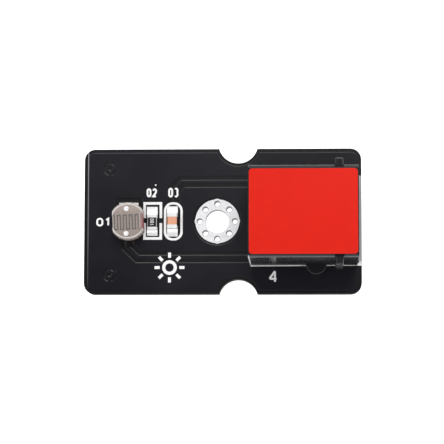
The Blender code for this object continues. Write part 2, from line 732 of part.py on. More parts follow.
def jack_housing():
    """The moulded jack: port, latch channel with its ledges, ribs, bosses and pegs."""
    half = JACK_WIDTH / 2
    port_half = PORT_WIDTH / 2
    over = MM
    shoulder = JACK_SHOULDER_ROUND
    section = [(-half, 0), (half, 0)] + arc((half - shoulder, JACK_HEIGHT - shoulder), shoulder, 0, 90, 4)
    section += arc((shoulder - half, JACK_HEIGHT - shoulder), shoulder, 90, 180, 4)
    housing = bar_along_x("jack_housing", section, 0, JACK_LENGTH, jack_corner(0, 0, 0), jack_plastic())
    bevel(housing, JACK_EDGE_ROUND, 2)

    ribs = []
    notches = []
    for sign in (1, -1):
        root, tip = sorted((sign * (half - over / 2), sign * (half + RIB_REACH)))
        ribs.append(((RIB_X - RIB_WIDTH / 2, root, RIB_BOTTOM), (RIB_X + RIB_WIDTH / 2, tip, RIB_TOP)))
        inner, outer = sorted((sign * (half - RIB_NOTCH_IN), sign * (half + RIB_NOTCH_OUT)))
        notches.append(((RIB_X - RIB_WIDTH / 2 - over / 10, inner, JACK_HEIGHT - RIB_NOTCH_DEPTH),
                        (RIB_X + RIB_WIDTH / 2 + over / 10, outer, JACK_HEIGHT + over)))
    rib_pair = jack_boxes("rib_pair", ribs)
    bevel(rib_pair, RIB_EDGE_ROUND, 2)
    boolean(housing, rib_pair, "UNION")
    boolean(housing, jack_boxes("cut_rib_notches", notches))

    peg = PEG_DIAMETER / 2
    boss = BOSS_DIAMETER / 2
    boss_top = JACK_BASE + BOSS_HEIGHT
    profile = [(0, 0), (peg - PEG_TIP_CHAMFER, 0), (peg, PEG_TIP_CHAMFER), (peg, JACK_BASE),
               (boss, JACK_BASE)]
    profile += arc((boss - BOSS_EDGE_ROUND, boss_top - BOSS_EDGE_ROUND), BOSS_EDGE_ROUND, 0, 90, 3)
    profile.append((0, boss_top))
    for word, place in zip(("far", "near"), peg_places()):
        boolean(housing, turned("boss_and_peg_" + word, profile, place, MEDIUM), "UNION")

    front = JACK_LENGTH + over
    boolean(housing, jack_boxes("cut_port", [((INSERT_FRONT, -port_half, PORT_FLOOR), (front, port_half,
                                                                                     PORT_CEILING))]))
    channel_half = LATCH_CHANNEL_WIDTH / 2
    slot_half = LATCH_SLOT_WIDTH / 2
    ledge_x = JACK_LENGTH - LATCH_LEDGE_DEPTH
    ledge_z = LATCH_CHANNEL_FLOOR + LATCH_LEDGE_HEIGHT
    boolean(housing, jack_boxes("cut_latch_channel", [((INSERT_FRONT, -channel_half, LATCH_CHANNEL_FLOOR),
                                                       (ledge_x, channel_half, PORT_FLOOR + over))]))
    boolean(housing, jack_boxes("cut_latch_step", [((ledge_x - over, -channel_half, ledge_z),
                                                    (front, channel_half, PORT_FLOOR + over))]))
    boolean(housing, jack_boxes("cut_latch_slot", [((ledge_x - over, -slot_half, LATCH_CHANNEL_FLOOR),
                                                    (front, slot_half, PORT_FLOOR + over))]))
    pocket_half = port_half + SEAT_GAP
    boolean(housing, jack_boxes("cut_insert_pocket", [((-over, -pocket_half, -over),
                                                       (INSERT_FRONT + SEAT_GAP, pocket_half,
                                                        INSERT_TOP + SEAT_GAP))]))
    boolean(housing, jack_boxes("cut_contact_lanes", contact_lanes(INSERT_FRONT - over, CONTACT_FOLD_X + over,
                                                                   PORT_CEILING - over, INSERT_TOP)))
    return housing


def contact_insert():
    """The block that carries the contacts, with the comb that spaces their free ends."""
    half = PORT_WIDTH / 2
    insert = jack_boxes("jack_contact_insert", [((INSERT_BACK, -half, 0), (INSERT_FRONT, half, INSERT_TOP))],
                        jack_plastic())
    comb_half = (CONTACT_COUNT + 1) / 2 * CONTACT_PITCH
    boolean(insert, jack_boxes("comb", [((INSERT_FRONT - COMB_REACH, -comb_half, COMB_BOTTOM),
                                         (INSERT_FRONT + COMB_REACH, comb_half, COMB_TOP))]), "UNION")
    comb_lanes = contact_lanes(INSERT_FRONT - CONTACT_SLOT, INSERT_FRONT + COMB_REACH + MM,
                               COMB_BOTTOM - MM, COMB_TOP + MM)
    boolean(insert, jack_boxes("cut_comb", comb_lanes))
    half_slot = CONTACT_SLOT / 2
    grooves = []
    shafts = []
    for index in range(CONTACT_COUNT):
        y = contact_y(index)
        x = contact_row(index)
        grooves.append(((x - half_slot, y - half_slot, CONTACT_RUN_Z - half_slot - CONTACT_BEND_RADIUS),
                        (INSERT_FRONT + MM, y + half_slot, INSERT_TOP + MM)))
        shafts.append(((x - half_slot, y - half_slot, -MM),
                       (x + half_slot, y + half_slot, INSERT_TOP + MM)))
    boolean(insert, jack_boxes("cut_insert_grooves", grooves))
    boolean(insert, jack_boxes("cut_insert_shafts", shafts))
    return insert


def contact_path(index):
    """A contact's route: tail, bend, run to the front, fold and the sloping free end."""
    x0 = contact_row(index)
    bend = CONTACT_BEND_RADIUS
    fold = CONTACT_FOLD_RADIUS
    route = [(x0, -JACK_BASE), (x0, CONTACT_RUN_Z - bend)]
    route += arc((x0 + bend, CONTACT_RUN_Z - bend), bend, 180, 90, 4)[1:]
    slope = math.degrees(CONTACT_SLOPE)
    route += arc((CONTACT_FOLD_X, CONTACT_RUN_Z - fold), fold, 90, slope - 90, 8)
    last_x, last_z = route[-1]
    route.append((CONTACT_END_X, last_z - (last_x - CONTACT_END_X) * math.tan(CONTACT_SLOPE)))
    return [jack_corner(x, contact_y(index), z) for x, z in route]


def jack_label():
    half = JACK_WIDTH / 2 - LABEL_SIDE_MARGIN
    low = (JACK_BACK_X + LABEL_END_MARGIN, LABEL_SHIFT_Y - half)
    high = (JACK_BACK_X + JACK_LENGTH - LABEL_END_MARGIN, LABEL_SHIFT_Y + half)
    bottom = JACK_BASE + JACK_HEIGHT + SEAT_GAP
    outline = rounded_rectangle(low, high, LABEL_CORNER_RADIUS)
    return prism("jack_label", outline, bottom, bottom + LABEL_THICKNESS, label_film())


def build():
    circuit_board()
    mounting_hole_plating()

    cell_base()
    cell_track()
    cell_coat()
    for word, side, lead in zip(("upper", "lower"), (1, -1), cell_lead_places()):
        cell_electrode("ldr_electrode_" + word, lead, side)
        cell_lead("ldr_lead_" + word, lead)
        solder_joint("ldr_solder_" + word, lead, CELL_LEAD_DIAMETER, CELL_JOINT_DIAMETER)

    chip_resistor()
    chip_capacitor()

    jack_housing()
    contact_insert()
    jack_label()
    for index, place in enumerate(contact_places()):
        number = str(index + 1)
        wire("jack_contact_" + number, contact_path(index), CONTACT_DIAMETER, contact_metal())
        solder_joint("jack_solder_" + number, place, CONTACT_DIAMETER, PIN_JOINT_DIAMETER)


build()
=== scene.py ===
"""Finishes the light sensor module: materials, copper relief, printed marks, resin and stage."""
import json
import math

import bmesh
import bpy
from bpy.props import FloatProperty, FloatVectorProperty, IntProperty, PointerProperty
from mathutils import Matrix, Vector


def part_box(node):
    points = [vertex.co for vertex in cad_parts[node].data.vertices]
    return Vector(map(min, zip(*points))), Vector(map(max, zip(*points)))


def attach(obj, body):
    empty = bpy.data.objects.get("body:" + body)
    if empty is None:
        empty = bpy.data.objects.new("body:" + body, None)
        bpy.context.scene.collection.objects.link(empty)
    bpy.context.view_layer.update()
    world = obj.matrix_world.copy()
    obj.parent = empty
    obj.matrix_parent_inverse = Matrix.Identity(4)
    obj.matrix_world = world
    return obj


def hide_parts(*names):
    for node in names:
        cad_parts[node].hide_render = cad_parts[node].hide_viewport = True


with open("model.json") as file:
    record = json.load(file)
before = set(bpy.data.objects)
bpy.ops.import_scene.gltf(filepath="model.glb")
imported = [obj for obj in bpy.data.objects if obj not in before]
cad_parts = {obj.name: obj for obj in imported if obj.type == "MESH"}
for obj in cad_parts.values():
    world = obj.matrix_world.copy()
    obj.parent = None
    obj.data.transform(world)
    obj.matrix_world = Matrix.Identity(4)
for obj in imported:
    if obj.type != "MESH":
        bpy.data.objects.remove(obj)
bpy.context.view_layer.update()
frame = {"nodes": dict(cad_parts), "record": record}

bl_info = {
    "name": "Light sensor module finish",
    "version": (1, 0, 0),
    "blender": (4, 5, 0),
    "location": "3D View > Sidebar > Light sensor",
    "description": "Materials and fine pieces for a packed light sensor module",
    "category": "Object",
}

MM = 0.001
NODES = frame["nodes"]


def middle(name):
    """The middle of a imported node's box."""
    low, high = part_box(name)
    return (low + high) / 2


BOARD_LOW, BOARD_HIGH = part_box("circuit_board")
COAT_LOW, COAT_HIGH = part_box("ldr_clear_coat")
LABEL_LOW, LABEL_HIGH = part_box("jack_label")

BOARD_TOP = BOARD_HIGH.z
BOARD_BOTTOM = BOARD_LOW.z
CELL_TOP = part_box("ldr_ceramic_base")[1].z
JACK_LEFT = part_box("jack_housing")[0].x
HOLE_CENTRE = middle("mounting_hole_plating")
CELL_CENTRE = middle("ldr_ceramic_base")
RESISTOR_CENTRE = middle("resistor_body")
CAPACITOR_CENTRE = middle("capacitor_body")
CELL_LEADS = [middle("ldr_lead_upper"), middle("ldr_lead_lower")]
CONTACT_TAILS = [middle("jack_solder_%d" % number) for number in range(1, 7)]

# Sizes of the solids that no box gives
CELL_TURN = math.radians(2.5)
CELL_RADIUS = 2.55 * MM
CELL_HALF_FLAT = 2.1 * MM
BOARD_CORNER = 1.5 * MM
NOTCH_CENTRES = [(2.15 * MM, side * 10.7 * MM) for side in (1, -1)]
NOTCH_RADIUS = 2.7 * MM
JACK_HALF_WIDTH = 6.1 * MM
PEGS = [(12.79 * MM, side * 6.0 * MM) for side in (1, -1)]

# Sizes of what is added to them
HOLE_CLEARING = 3.2 * MM    # radius of the bare ring round the mounting hole
INK_FOOT = 0.004 * MM       # the print starts this far above the bare board
ROOM = 0.02 * MM            # between the resin and what it covers
HAIR = 0.001 * MM           # too little to see, enough to tell two places apart
SAME_PLACE = 0.0001 * MM    # two points that are closer count as one


# Colours and nodes

NOISE_RANGE = (0.3, 0.7)    # most values of a noise pattern lie between these
SHARE, FIRST, SECOND, MIXED = 0, 6, 7, 2    # a colour Mix node's inputs, and its output


def linear(hex_colour):
    """An sRGB hex colour as linear red, green, blue and alpha."""
    channels = [int(hex_colour[place:place + 2], 16) / 255 for place in (1, 3, 5)]
    return [c / 12.92 if c <= 0.04045 else ((c + 0.055) / 1.055) ** 2.4 for c in channels] + [1.0]


def fill_inputs(node, inputs):
    """Fills a node's inputs with values or links, in their own order, or by name or number."""
    for key, value in inputs.items() if isinstance(inputs, dict) else enumerate(inputs):
        if isinstance(value, bpy.types.NodeSocket):
            node.id_data.links.new(value, node.inputs[key])
        else:
            node.inputs[key].default_value = value


def add_node(tree, kind, inputs=(), **settings):
    """Adds a shader node with its settings and inputs, and gives its outputs."""
    node = tree.nodes.new("ShaderNode" + kind)
    for name, value in settings.items():
        setattr(node, name, value)
    fill_inputs(node, inputs)
    return node.outputs


def start_material(name, colour, roughness, metallic=0.0, ior=1.5, specular=0.5):
    """A new material with its Principled shader set from values typical of the real one."""
    material = bpy.data.materials.new(name)
    material.use_nodes = True
    material.diffuse_color = linear(colour)
    tree = material.node_tree
    shader = tree.nodes["Principled BSDF"]
    fill_inputs(shader, {"Base Color": linear(colour), "Roughness": roughness, "Metallic": metallic,
                         "IOR": ior, "Specular IOR Level": specular})
    return material, tree, shader


def steepness(tree, upright=0.55, level=0.7):
    """1 on upright faces, 0 on those that lie flat, between two heights of the normal."""
    normal = add_node(tree, "NewGeometry")["Normal"]
    up = add_node(tree, "SeparateXYZ", (normal,))["Z"]
    flat = add_node(tree, "Math", (up,), operation="ABSOLUTE")["Value"]
    return add_node(tree, "MapRange", (flat, upright, level, 1.0, 0.0))["Result"]


def near_to(tree, value, middle_value, full, none):
    """1 where a value is within the first distance of the middle one, 0 beyond the second."""
    off = add_node(tree, "Math", (value, middle_value), operation="SUBTRACT")["Value"]
    off = add_node(tree, "Math", (off,), operation="ABSOLUTE")["Value"]
    return add_node(tree, "MapRange", (off, full, none, 1.0, 0.0))["Result"]


# Materials

def solder_mask():
    """Black epoxy solder mask, screened over copper and laminate and cured.

    It is semi-gloss with a slight orange peel and a little duller towards the jack. Painted shade
    darkens it in the bare grooves, where no copper lies under it, and a painted highlight lies along
    the copper's edge at one end of the board. The sawn and drilled sides show bare dark laminate
    with its glass layers."""
    material, tree, shader = start_material("black_solder_mask", "#12121B", 0.36, specular=0.4)
    chosen = bpy.context.scene.light_sensor_relief
    place = add_node(tree, "TexCoord")["Object"]
    axes = add_node(tree, "SeparateXYZ", (place,))
    # Orange peel of about 0.25 mm, in clouds of about 5 mm.
    peel = add_node(tree, "TexNoise", {"Vector": place, "Scale": 1 / (0.25 * MM), "Detail": 3.0})["Fac"]
    cloudy = add_node(tree, "TexNoise", {"Vector": place, "Scale": 1 / (5 * MM)})["Fac"]
    patches = add_node(tree, "MapRange", (cloudy, *NOISE_RANGE))["Result"]
    mask = add_node(tree, "Mix", {SHARE: patches, FIRST: chosen.mask_dark, SECOND: chosen.mask_pale},
                    data_type="RGBA")[MIXED]
    # Painted shade in the bare grooves and via dimples: darker at the board's own level, but not along its
    # two long edges.
    low_down = near_to(tree, axes["Z"], BOARD_TOP, 0.004 * MM, 0.026 * MM)
    off_edges = near_to(tree, axes["Y"], 0.0, 9.40 * MM, 9.45 * MM)
    bare = add_node(tree, "Math", (low_down, off_edges), operation="MULTIPLY")["Value"]
    mask = add_node(tree, "Mix", {SHARE: bare, FIRST: mask, SECOND: linear("#050508")},
                    data_type="RGBA")[MIXED]
    # Painted highlight along the copper's edge, brighter towards its far end.
    line = near_to(tree, axes["X"], BOARD_LOW.x + 0.53 * MM, 0.03 * MM, 0.10 * MM)
    edge_highlight_strength = add_node(tree, "MapRange", (axes["Y"], -9.0 * MM, 8.0 * MM, 0.03, 0.72))["Result"]
    painted_edge_highlight = add_node(tree, "Math", (line, edge_highlight_strength), operation="MULTIPLY")["Value"]
    mask = add_node(tree, "Mix", {SHARE: painted_edge_highlight, FIRST: mask, SECOND: linear("#A0A0A6")},
                    data_type="RGBA")[MIXED]
    # Layers of glass cloth 0.12 mm thick, drawn out along the board.
    layers = add_node(tree, "Mapping", {"Vector": place, "Scale": (0.06, 0.06, 1.0)})["Vector"]
    glass = add_node(tree, "TexNoise", {"Vector": layers, "Scale": 1 / (0.12 * MM)})["Fac"]
    glass = add_node(tree, "MapRange", (glass, *NOISE_RANGE))["Result"]
    laminate = add_node(tree, "Mix", {SHARE: glass, FIRST: linear("#16150F"), SECOND: linear("#37342B")},
                        data_type="RGBA")[MIXED]
    side = steepness(tree)
    colour = add_node(tree, "Mix", {SHARE: side, FIRST: mask, SECOND: laminate}, data_type="RGBA")[MIXED]
    along = add_node(tree, "MapRange", (axes["X"], BOARD_LOW.x, JACK_LEFT, -0.012, 0.085))["Result"]
    across = add_node(tree, "MapRange", (axes["Y"], BOARD_LOW.y, BOARD_HIGH.y, -0.056, 0.012))["Result"]
    clouds = add_node(tree, "MapRange", (cloudy, *NOISE_RANGE, 0.34, 0.39))["Result"]
    sheen = add_node(tree, "Math", (along, across), operation="ADD")["Value"]
    sheen = add_node(tree, "Math", (sheen, clouds), operation="ADD")["Value"]
    rough = add_node(tree, "Math", (sheen, side), operation="MAXIMUM", use_clamp=True)["Value"]
    rough = add_node(tree, "Math", (rough, 0.75), operation="MINIMUM")["Value"]
    relief = add_node(tree, "Bump", {"Height": peel, "Distance": 0.004 * MM})["Normal"]
    fill_inputs(shader, {"Base Color": colour, "Roughness": rough, "Normal": relief})
    return material


def print_ink():
    """White epoxy marking ink, screen printed: matt, slightly thin in places.

    The line along the port's end of the board is painted grey there as the jack's shadow, all but its near
    corner."""
    material, tree, shader = start_material("white_marking_ink", "#F0F0EE", 0.62)
    chosen = bpy.context.scene.light_sensor_print
    place = add_node(tree, "TexCoord")["Object"]
    axes = add_node(tree, "SeparateXYZ", (place,))
    # Thin spots of about 0.3 mm, and the screen's weave of about 0.09 mm.
    spots = add_node(tree, "TexNoise", {"Vector": place, "Scale": 1 / (0.3 * MM), "Detail": 3.0})["Fac"]
    weave = add_node(tree, "TexNoise", {"Vector": place, "Scale": 1 / (0.09 * MM)})["Fac"]
    full = add_node(tree, "MapRange", (spots, 0.25, 0.6, 0.0, 1.0))["Result"]
    ink = add_node(tree, "Mix", {SHARE: full, FIRST: chosen.ink_thin, SECOND: chosen.ink_full},
                   data_type="RGBA")[MIXED]
    # Painted shadow of the jack: the line along the port's end is painted grey, all but its near corner.
    at_port = add_node(tree, "MapRange", (axes["X"], 18.45 * MM, 18.60 * MM, 0.0, 1.0))["Result"]
    past_corner = add_node(tree, "MapRange", (axes["Y"], -5.75 * MM, -5.45 * MM, 0.0, 1.0))["Result"]
    painted_jack_shadow = add_node(tree, "Math", (at_port, past_corner), operation="MULTIPLY")["Value"]
    colour = add_node(tree, "Mix", {SHARE: painted_jack_shadow, FIRST: ink, SECOND: linear("#ACACB0")},
                      data_type="RGBA")[MIXED]
    relief = add_node(tree, "Bump", {"Height": weave, "Distance": 0.004 * MM})["Normal"]
    fill_inputs(shader, {"Base Color": colour, "Normal": relief})
    return material


def tinned_copper():
    """Copper pads levelled with hot tin: pale, slightly lumpy and softly bright, with painted shade greying
    the bore walls.
    """
    material, tree, shader = start_material("hot_tinned_copper", "#F8F8F8", 0.42, metallic=0.1)
    place = add_node(tree, "TexCoord")["Object"]
    # Lumps of tin about 0.45 mm wide, with a finer change of gloss.
    lumps = add_node(tree, "TexNoise", {"Vector": place, "Scale": 1 / (0.45 * MM), "Detail": 3.0})["Fac"]
    fine = add_node(tree, "TexNoise", {"Vector": place, "Scale": 1 / (0.2 * MM)})["Fac"]
    thick = add_node(tree, "MapRange", (lumps, *NOISE_RANGE))["Result"]
    face = add_node(tree, "Mix", {SHARE: thick, FIRST: linear("#EAEAEC"), SECOND: linear("#FAFAFC")},
                    data_type="RGBA")[MIXED]
    # Painted shade: upright faces, such as the bore walls, are painted grey.
    painted_bore_shade = steepness(tree, 0.75, 0.9)
    colour = add_node(tree, "Mix", {SHARE: painted_bore_shade, FIRST: face, SECOND: linear("#7E7E82")},
                      data_type="RGBA")[MIXED]
    rough = add_node(tree, "MapRange", (fine, *NOISE_RANGE, 0.34, 0.52))["Result"]
    relief = add_node(tree, "Bump", {"Height": lumps, "Distance": 0.03 * MM})["Normal"]
    fill_inputs(shader, {"Base Color": colour, "Roughness": rough, "Normal": relief})
    return material


def solder():
    """Tin solder that froze round a lead: bright, with faint ripples about 0.35 mm apart."""
    material, tree, shader = start_material("tin_solder", "#FBFBFB", 0.36, metallic=0.1)
    place = add_node(tree, "TexCoord")["Object"]
    ripples = add_node(tree, "TexNoise", {"Vector": place, "Scale": 1 / (0.35 * MM)})["Fac"]
    rough = add_node(tree, "MapRange", (ripples, *NOISE_RANGE, 0.24, 0.42))["Result"]
    relief = add_node(tree, "Bump", {"Height": ripples, "Distance": 0.025 * MM})["Normal"]
    fill_inputs(shader, {"Roughness": rough, "Normal": relief})
    return material


def alumina():
    """Fired alumina ceramic: off-white, dull, with a fine grain.

    The photoresistor's own rim is painted brownish, and its upright sides darker still as painted shade."""
    material, tree, shader = start_material("fired_alumina", "#E4E0D8", 0.6, ior=1.6)
    place = add_node(tree, "TexCoord")["Object"]
    axes = add_node(tree, "SeparateXYZ", (place,))
    # The real grain is a few thousandths of a millimetre, so it is drawn coarser.
    shade = add_node(tree, "TexNoise", {"Vector": place, "Scale": 1 / (0.12 * MM), "Detail": 3.0})["Fac"]
    grit = add_node(tree, "TexNoise", {"Vector": place, "Scale": 1 / (0.05 * MM)})["Fac"]
    white = add_node(tree, "Mix", {SHARE: shade, FIRST: linear("#D9D4CA"), SECOND: linear("#EFECE6")},
                     data_type="RGBA")[MIXED]
    # Painted shade: the photoresistor's upright sides are painted darker than its brownish rim.
    side = steepness(tree)
    brown_rim_shaded_sides = add_node(tree, "Mix", {SHARE: side, FIRST: linear("#A0938D"), SECOND: linear("#6E5852")},
                       data_type="RGBA")[MIXED]
    on_cell = near_to(tree, axes["X"], CELL_CENTRE.x, 2.4 * MM, 2.5 * MM)
    colour = add_node(tree, "Mix", {SHARE: on_cell, FIRST: white, SECOND: brown_rim_shaded_sides}, data_type="RGBA")[MIXED]
    relief = add_node(tree, "Bump", {"Height": grit, "Distance": 0.003 * MM})["Normal"]
    fill_inputs(shader, {"Base Color": colour, "Normal": relief})
    return material


def sensing_film():
    """Sintered cadmium sulphide: a dark red-brown, dull and grainy film."""
    material, tree, shader = start_material("sintered_cadmium_sulphide", "#2A1815", 0.6)
    place = add_node(tree, "TexCoord")["Object"]
    # The real crystals are finer than 0.06 mm, too fine to show.
    crystals = add_node(tree, "TexNoise", {"Vector": place, "Scale": 1 / (0.06 * MM), "Detail": 3.0})["Fac"]
    colour = add_node(tree, "Mix", {SHARE: crystals, FIRST: linear("#180806"), SECOND: linear("#2E1913")},
                      data_type="RGBA")[MIXED]
    fill_inputs(shader, {"Base Color": colour})
    return material


def electrode_film():
    """Evaporated metal film on ceramic: greyish beige, finely speckled, satin, with a painted sheen that
    lightens its far side.
    """
    material, tree, shader = start_material("evaporated_metal_film", "#ABA098", 0.45, metallic=0.25)
    place = add_node(tree, "TexCoord")["Object"]
    axes = add_node(tree, "SeparateXYZ", (place,))
    # Speckles follow the ceramic's grain, drawn at 0.11 mm so that they show.
    speckle = add_node(tree, "TexNoise", {"Vector": place, "Scale": 1 / (0.11 * MM), "Detail": 4.0,
                                          "Roughness": 0.65})["Fac"]
    bright = add_node(tree, "MapRange", (speckle, 0.35, 0.65, 0.0, 1.0))["Result"]
    film = add_node(tree, "Mix", {SHARE: bright, FIRST: linear("#74645D"), SECOND: linear("#AC988E")},
                    data_type="RGBA")[MIXED]
    # Painted sheen: the film is painted lighter towards its far side, where the main light comes from.
    pale = add_node(tree, "MapRange", (axes["Y"], 0.9 * MM, 2.3 * MM, 0.0, 0.6))["Result"]
    colour = add_node(tree, "Mix", {SHARE: pale, FIRST: film, SECOND: linear("#C9BBB2")},
                      data_type="RGBA")[MIXED]
    relief = add_node(tree, "Bump", {"Height": speckle, "Distance": 0.003 * MM})["Normal"]
    fill_inputs(shader, {"Base Color": colour, "Normal": relief})
    return material


def clear_resin():
    """Clear epoxy poured over the sensing face: glossy, almost colourless.

    Red film that crept out at one flat shows through it there, and a painted highlight lies on its round
    shoulder as a whitish ring."""
    material, tree, shader = start_material("clear_epoxy", "#F2F0EC", 0.08, ior=1.55)
    place = add_node(tree, "TexCoord")["Object"]
    axes = add_node(tree, "SeparateXYZ", (place,))
    flat = CELL_CENTRE.x + CELL_HALF_FLAT
    by_flat = add_node(tree, "MapRange", (axes["X"], flat - 0.70 * MM, flat + 0.05 * MM, 0.0, 1.0))["Result"]
    by_middle = near_to(tree, axes["Y"], -0.1 * MM, 0.95 * MM, 1.35 * MM)
    stain = add_node(tree, "Math", (by_flat, by_middle), operation="MULTIPLY")["Value"]
    colour = add_node(tree, "Mix", {SHARE: stain, FIRST: linear("#F2F0EC"), SECOND: linear("#A44A52")},
                      data_type="RGBA")[MIXED]
    level = add_node(tree, "CombineXYZ", (axes["X"], axes["Y"]))["Vector"]
    radius = add_node(tree, "VectorMath", (level, (CELL_CENTRE.x, CELL_CENTRE.y, 0.0)),
                      operation="DISTANCE")["Value"]
    # Painted highlight: a whitish ring on the round shoulder, made by more cover there.
    shoulder = near_to(tree, radius, 2.33 * MM, 0.04 * MM, 0.11 * MM)
    painted_shoulder_highlight = add_node(tree, "Math", (shoulder, 0.5), operation="MULTIPLY")["Value"]
    stained = add_node(tree, "MapRange", (stain, 0.0, 1.0, 0.07, 0.6))["Result"]
    cover = add_node(tree, "Math", (stained, painted_shoulder_highlight), operation="MAXIMUM")["Value"]
    # Resin that levelled itself, with waves about 0.9 mm wide.
    waves = add_node(tree, "TexNoise", {"Vector": place, "Scale": 1 / (0.9 * MM)})["Fac"]
    relief = add_node(tree, "Bump", {"Height": waves, "Distance": 0.02 * MM})["Normal"]
    fill_inputs(shader, {"Base Color": colour, "Alpha": cover, "Normal": relief})
    return material


def resistor_glaze():
    """Black glass glaze over the resistive film: smooth, slightly rounded off."""
    material, tree, shader = start_material("black_glaze", "#1B1B1F", 0.36)
    place = add_node(tree, "TexCoord")["Object"]
    # Flow marks of the fired glaze, 0.15 to 0.2 mm wide.
    dull = add_node(tree, "TexNoise", {"Vector": place, "Scale": 1 / (0.2 * MM)})["Fac"]
    flow = add_node(tree, "TexNoise", {"Vector": place, "Scale": 1 / (0.15 * MM)})["Fac"]
    rough = add_node(tree, "MapRange", (dull, *NOISE_RANGE, 0.3, 0.45))["Result"]
    relief = add_node(tree, "Bump", {"Height": flow, "Distance": 0.006 * MM})["Normal"]
    fill_inputs(shader, {"Roughness": rough, "Normal": relief})
    return material


def capacitor_ceramic():
    """Fired barium titanate: warm tan with a fine grain, matt."""
    material, tree, shader = start_material("fired_titanate", "#EEA27C", 0.55)
    place = add_node(tree, "TexCoord")["Object"]
    # The real grain is a few thousandths of a millimetre, so it is drawn coarser.
    shade = add_node(tree, "TexNoise", {"Vector": place, "Scale": 1 / (0.15 * MM), "Detail": 3.0})["Fac"]
    grit = add_node(tree, "TexNoise", {"Vector": place, "Scale": 1 / (0.06 * MM)})["Fac"]
    colour = add_node(tree, "Mix", {SHARE: shade, FIRST: linear("#DE9472"), SECOND: linear("#EEB497")},
                      data_type="RGBA")[MIXED]
    relief = add_node(tree, "Bump", {"Height": grit, "Distance": 0.004 * MM})["Normal"]
    fill_inputs(shader, {"Base Color": colour, "Normal": relief})
    return material


def jack_plastic():
    """Glass-filled polyester, injection moulded: black, finely pitted, glossy on its drawn sides.

    Its flat faces, from the spark-eroded bottom of the tool, are duller and painted a lighter black as
    painted light, and one upright corner carries a light grey, rough painted highlight."""
    material, tree, shader = start_material("moulded_black_polyester", "#0E0E11", 0.18, specular=0.3)
    place = add_node(tree, "TexCoord")["Object"]
    axes = add_node(tree, "SeparateXYZ", (place,))
    # Spark-eroded pits of about 0.07 mm, and flow marks 2.5 mm wide, longer along the draw.
    pits = add_node(tree, "TexNoise", {"Vector": place, "Scale": 1 / (0.07 * MM)})["Fac"]
    drawn = add_node(tree, "Mapping", {"Vector": place, "Scale": (0.4, 1.0, 1.0)})["Vector"]
    flow = add_node(tree, "TexNoise", {"Vector": drawn, "Scale": 1 / (2.5 * MM)})["Fac"]
    side = steepness(tree)
    # Painted highlight: the upright corner at the left front is painted light grey and made rough.
    at_left = near_to(tree, axes["X"], JACK_LEFT, 0.16 * MM, 0.2 * MM)
    at_front = near_to(tree, axes["Y"], -JACK_HALF_WIDTH, 0.16 * MM, 0.2 * MM)
    corner = add_node(tree, "Math", (at_left, at_front), operation="MULTIPLY")["Value"]
    glossy = add_node(tree, "MapRange", (flow, *NOISE_RANGE, 0.2, 0.27))["Result"]
    rough = add_node(tree, "MapRange", (side, 0.0, 1.0, 0.4, glossy))["Result"]
    painted_edge_highlight = add_node(tree, "Math", (corner, 0.5), operation="MULTIPLY")["Value"]
    rough = add_node(tree, "Math", (rough, painted_edge_highlight), operation="MAXIMUM")["Value"]
    marks = add_node(tree, "MapRange", (flow, *NOISE_RANGE))["Result"]
    black = add_node(tree, "Mix", {SHARE: marks, FIRST: linear("#0E0E11"), SECOND: linear("#131317")},
                     data_type="RGBA")[MIXED]
    # Painted light: flat faces are painted a lighter black than the upright ones.
    black = add_node(tree, "Mix", {SHARE: side, FIRST: linear("#1A1A1F"), SECOND: black},
                     data_type="RGBA")[MIXED]
    colour = add_node(tree, "Mix", {SHARE: corner, FIRST: black, SECOND: linear("#9A9A9E")},
                      data_type="RGBA")[MIXED]
    relief = add_node(tree, "Bump", {"Height": pits, "Distance": 0.0005 * MM})["Normal"]
    fill_inputs(shader, {"Base Color": colour, "Roughness": rough, "Normal": relief})
    return material


def gold_plating():
    """Gold flash over drawn phosphor bronze: warm, with fine lines along the wire."""
    material, tree, shader = start_material("gold_plated_bronze", "#E2B763", 0.24, metallic=1.0)
    place = add_node(tree, "TexCoord")["Object"]
    # Drawing lines 0.03 mm apart, stretched along the wire, and faint clouds in the plating.
    along = add_node(tree, "Mapping", {"Vector": place, "Scale": (0.05, 1.0, 0.3)})["Vector"]
    lines = add_node(tree, "TexNoise", {"Vector": along, "Scale": 1 / (0.03 * MM)})["Fac"]
    clouds = add_node(tree, "TexNoise", {"Vector": place, "Scale": 1 / (1.5 * MM)})["Fac"]
    rough = add_node(tree, "MapRange", (lines, *NOISE_RANGE, 0.18, 0.34))["Result"]
    colour = add_node(tree, "Mix", {SHARE: clouds, FIRST: linear("#D9AA55"), SECOND: linear("#EDC87A")},
                      data_type="RGBA")[MIXED]
    fill_inputs(shader, {"Base Color": colour, "Roughness": rough})
    return material


def red_film():
    """Red printed film with an adhesive back: flat, satin, very slightly uneven."""
    material, tree, shader = start_material("red_printed_film", "#DA2011", 0.6, specular=0.15)
    chosen = bpy.context.scene.light_sensor_label
    place = add_node(tree, "TexCoord")["Object"]
    # Mottled ink of about 1.6 mm, on film with waves of 4 mm and a grain of 0.12 mm.
    mottle = add_node(tree, "TexNoise", {"Vector": place, "Scale": 1 / (1.6 * MM), "Detail": 3.0})["Fac"]
    waves = add_node(tree, "TexNoise", {"Vector": place, "Scale": 1 / (4 * MM), "Detail": 0.0})["Fac"]
    fine = add_node(tree, "TexNoise", {"Vector": place, "Scale": 1 / (0.12 * MM)})["Fac"]
    patches = add_node(tree, "MapRange", (mottle, *NOISE_RANGE))["Result"]
    colour = add_node(tree, "Mix", {SHARE: patches, FIRST: chosen.film_dark, SECOND: chosen.film_pale},
                      data_type="RGBA")[MIXED]
    wavy = add_node(tree, "Bump", {"Height": waves, "Distance": 0.02 * MM})["Normal"]
    relief = add_node(tree, "Bump", {"Height": fine, "Distance": 0.002 * MM, "Normal": wavy})["Normal"]
    fill_inputs(shader, {"Base Color": colour, "Normal": relief})
    return material


